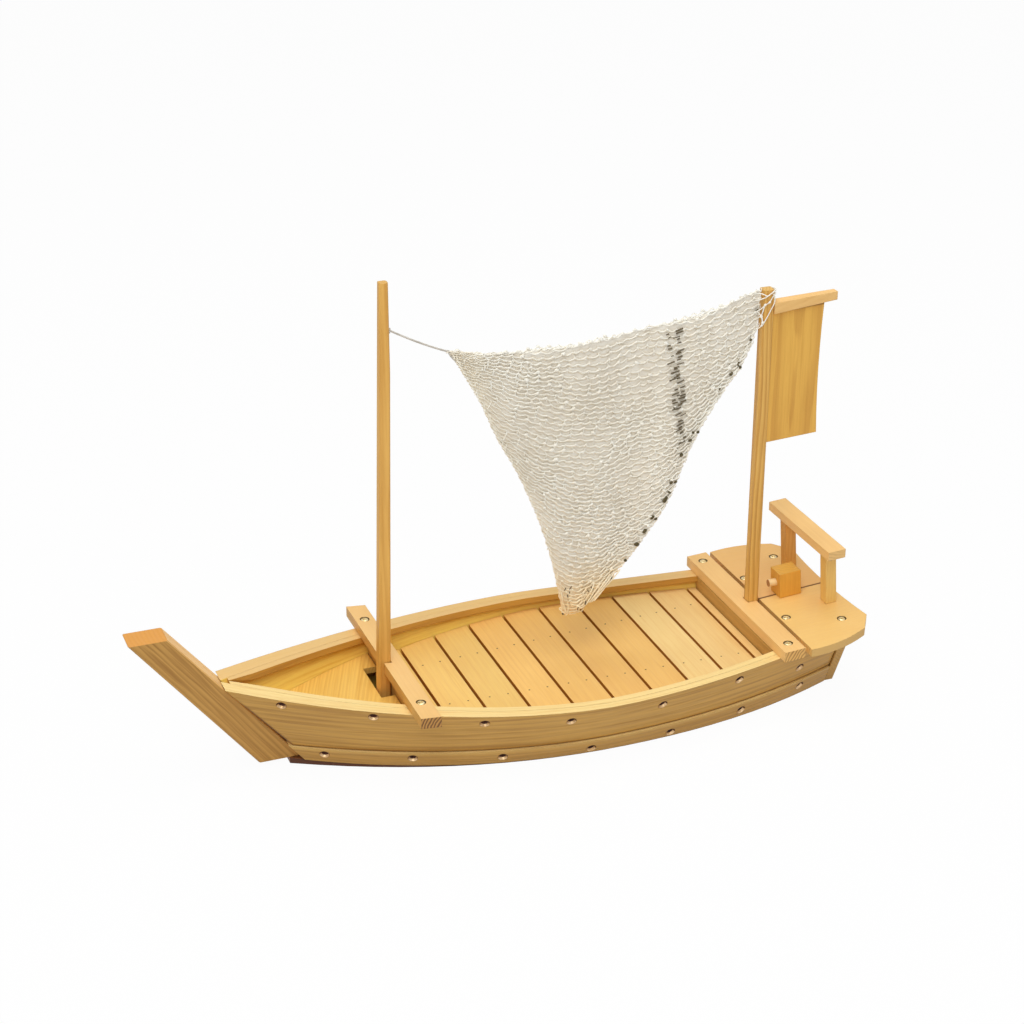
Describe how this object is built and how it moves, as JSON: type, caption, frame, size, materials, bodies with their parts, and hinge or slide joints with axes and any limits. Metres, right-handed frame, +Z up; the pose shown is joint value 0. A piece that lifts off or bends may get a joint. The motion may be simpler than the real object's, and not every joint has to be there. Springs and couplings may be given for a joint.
{
  "type": "wooden serving boat",
  "caption": "Wooden boat-shaped serving tray with a planked hull, slatted floor, screwed crossbeams, stern deck and rail, and lift-out masts that carry a net.",
  "frame": {"origin": "centre of the overall box, on the surface that the boat stands on", "axes": "+X along the keel towards the stern, +Y to starboard, +Z up"},
  "size_m": [0.66, 0.229, 0.423],
  "materials": {
    "plank_wood": "satin clear-coated pale softwood with long grain",
    "floor_wood": "satin clear-coated pale softwood",
    "mast_wood": "satin clear-coated pale softwood, straight grain",
    "brass": "bright",
    "cotton": "matt knotted cotton"
  },
  "bodies": {
    "hull": {"stem": "plank_wood", "port_upper_plank": "plank_wood", "starboard_upper_plank": "plank_wood", "port_lower_strake": "plank_wood", "starboard_lower_strake": "plank_wood", "bottom_board": "plank_wood", "transom": "plank_wood", "port_inwale": "floor_wood", "starboard_inwale": "floor_wood", "fore_deck": "floor_wood", "fore_crossbeam": "floor_wood", "aft_crossbeam": "floor_wood", "fore_bulkhead": "floor_wood", "aft_bulkhead": "floor_wood", "fore_mast_step": "floor_wood", "aft_mast_step": "floor_wood", "aft_deck_cleat": "floor_wood", "floor_slat_01": "floor_wood", "floor_slat_02": "floor_wood", "floor_slat_03": "floor_wood", "floor_slat_04": "floor_wood", "floor_slat_05": "floor_wood", "floor_slat_06": "floor_wood", "floor_slat_07": "floor_wood", "floor_slat_08": "floor_wood", "floor_slat_09": "floor_wood", "floor_slat_10": "floor_wood", "port_floor_bearer": "floor_wood", "starboard_floor_bearer": "floor_wood", "aft_deck_port": "floor_wood", "aft_deck_starboard": "floor_wood", "port_rail_post": "mast_wood", "starboard_rail_post": "mast_wood", "stern_rail": "floor_wood", "stern_block": "mast_wood", "stern_peg": "mast_wood", "fore_beam_screw_port": "brass", "fore_beam_screw_starboard": "brass", "aft_beam_screw_port": "brass", "aft_beam_screw_starboard": "brass", "deck_fore_screw_port": "brass", "deck_fore_screw_starboard": "brass", "deck_aft_screw_port": "brass", "deck_aft_screw_starboard": "brass"},
    "aft_rig": {"aft_mast": "mast_wood", "yard": "floor_wood", "flag_board": "mast_wood", "net": "cotton", "net_cord": "cotton"},
    "fore_rig": {"fore_mast": "mast_wood"}
  },
  "joints": [
    {"name": "aft_mast_lift", "type": "slide", "parent": "hull", "child": "aft_rig", "axis": [0, 0, 1], "range_m": [0, 0.05]},
    {"name": "fore_mast_lift", "type": "slide", "parent": "hull", "child": "fore_rig", "axis": [0, 0, 1], "range_m": [0, 0.05]}
  ],
  "couplings": [
    {"joint": "fore_mast_lift", "follows": "aft_mast_lift", "ratio": 1}
  ]
}
